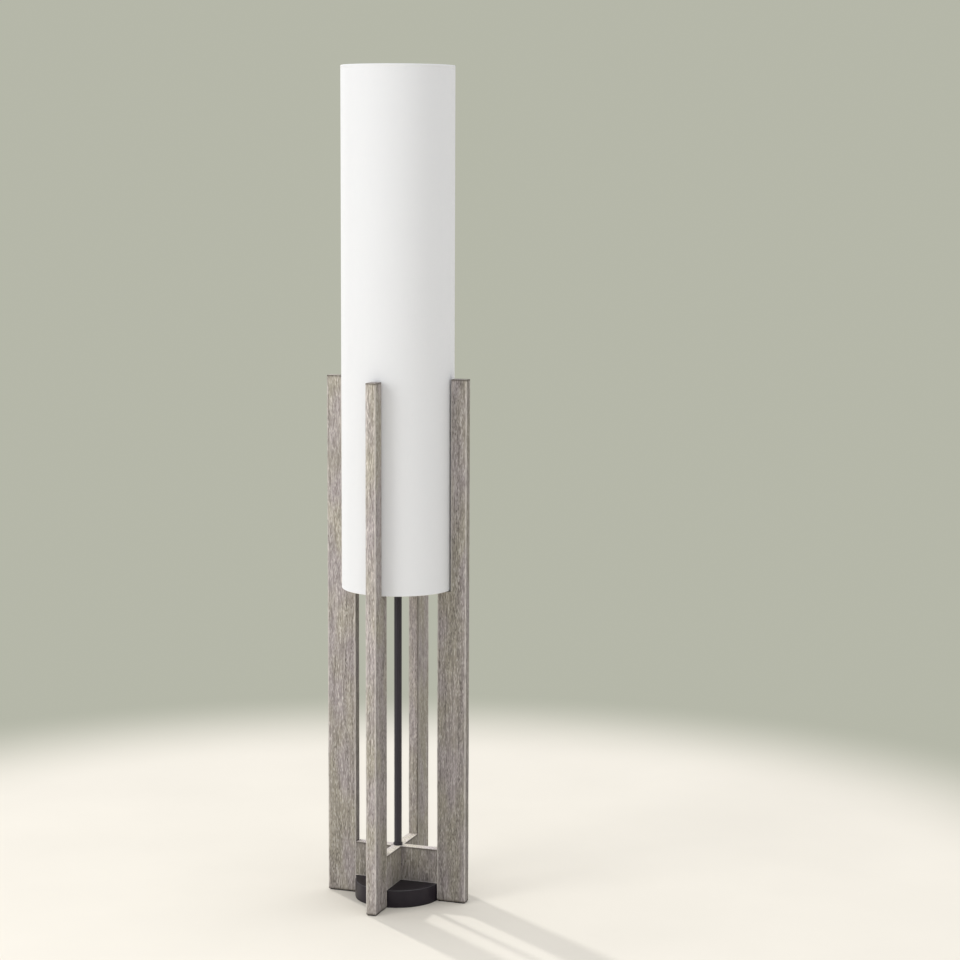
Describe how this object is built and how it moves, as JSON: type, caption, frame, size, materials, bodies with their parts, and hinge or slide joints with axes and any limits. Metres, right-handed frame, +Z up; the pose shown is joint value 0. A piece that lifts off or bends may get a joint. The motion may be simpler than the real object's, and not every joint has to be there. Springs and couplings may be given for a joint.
{
  "type": "column floor lamp",
  "caption": "Tall floor lamp: a white drum shade stands inside a cross of notched grey-washed wood posts, with halved rails, a round weighted base and a centre pole.",
  "frame": {"origin": "floor level on the lamp's vertical axis, at the centre of the underside of the round base's felt", "axes": "+Z up along the pole; the four posts stand on the X and Y axes, the front one on -Y; the cord inlet faces half-way between -X and +Y"},
  "size_m": [0.28, 0.28, 1.575],
  "materials": {
    "gray_wood": "grey-washed, wire-brushed, vertical grain",
    "dowel_wood": "plain hardwood",
    "black_felt": "felt",
    "black_metal": "satin black",
    "cast_weight": "rough casting",
    "black_nylon": "moulded",
    "zinc_steel": "zinc plated",
    "black_phenolic": "moulded",
    "brass_sheet": "drawn sheet",
    "white_fabric": "fine smooth weave",
    "white_styrene": "smooth sheet",
    "white_wire": "powder coat",
    "frosted_glass": "frosted",
    "bare_aluminium": "drawn shell",
    "black_glass": "glassy insulator"
  },
  "bodies": {
    "stand": {"post_front": "gray_wood", "post_right": "gray_wood", "post_back": "gray_wood", "post_left": "gray_wood", "rail_side": "gray_wood", "rail_depth": "gray_wood", "rail_dowels": "dowel_wood", "post_glides": "black_felt", "base_cover": "black_metal", "base_weight": "cast_weight", "base_felt": "black_felt", "inlet_bushing": "black_nylon", "base_nipple": "zinc_steel", "base_washer": "zinc_steel", "base_nut": "zinc_steel", "pole_collar": "black_metal", "pole_lower": "black_metal", "pole_middle": "black_metal", "pole_upper": "black_metal", "joint_nipples": "zinc_steel", "pole_seat": "black_metal", "bracket_lower": "zinc_steel", "bracket_upper": "zinc_steel", "socket_nipples": "zinc_steel", "socket_nuts": "zinc_steel", "socket_lower": "black_phenolic", "socket_upper": "black_phenolic", "screw_shell_lower": "brass_sheet", "screw_shell_upper": "brass_sheet", "contact_lower": "brass_sheet", "contact_upper": "brass_sheet"},
    "shade": {"shade_fabric": "white_fabric", "shade_backing": "white_styrene", "hem_top": "white_fabric", "hem_bottom": "white_fabric", "ring_top": "white_wire", "ring_bottom": "white_wire", "shade_spider": "white_wire"},
    "finial": {"finial": "black_metal"},
    "bulb_lower": {"bulb_glass_lower": "frosted_glass", "bulb_cap_lower": "bare_aluminium", "bulb_tip_lower": "black_glass"},
    "bulb_upper": {"bulb_glass_upper": "frosted_glass", "bulb_cap_upper": "bare_aluminium", "bulb_tip_upper": "black_glass"}
  },
  "joints": [
    {"name": "shade_lift", "type": "slide", "parent": "stand", "child": "shade", "axis": [0, 0, 1], "range_m": [0, 0.98]},
    {"name": "finial_turn", "type": "hinge", "parent": "shade", "child": "finial", "pos_m": [0, 0, 1.552], "axis": [0, 0, 1], "continuous": true},
    {"name": "bulb_lower_turn", "type": "hinge", "parent": "stand", "child": "bulb_lower", "pos_m": [-0.044, 0, 0.8021], "axis": [0, 0, 1], "range_deg": [0, 1080]},
    {"name": "bulb_upper_turn", "type": "hinge", "parent": "stand", "child": "bulb_upper", "pos_m": [0.044, 0, 1.2021], "axis": [0, 0, 1], "range_deg": [0, 1080]}
  ]
}
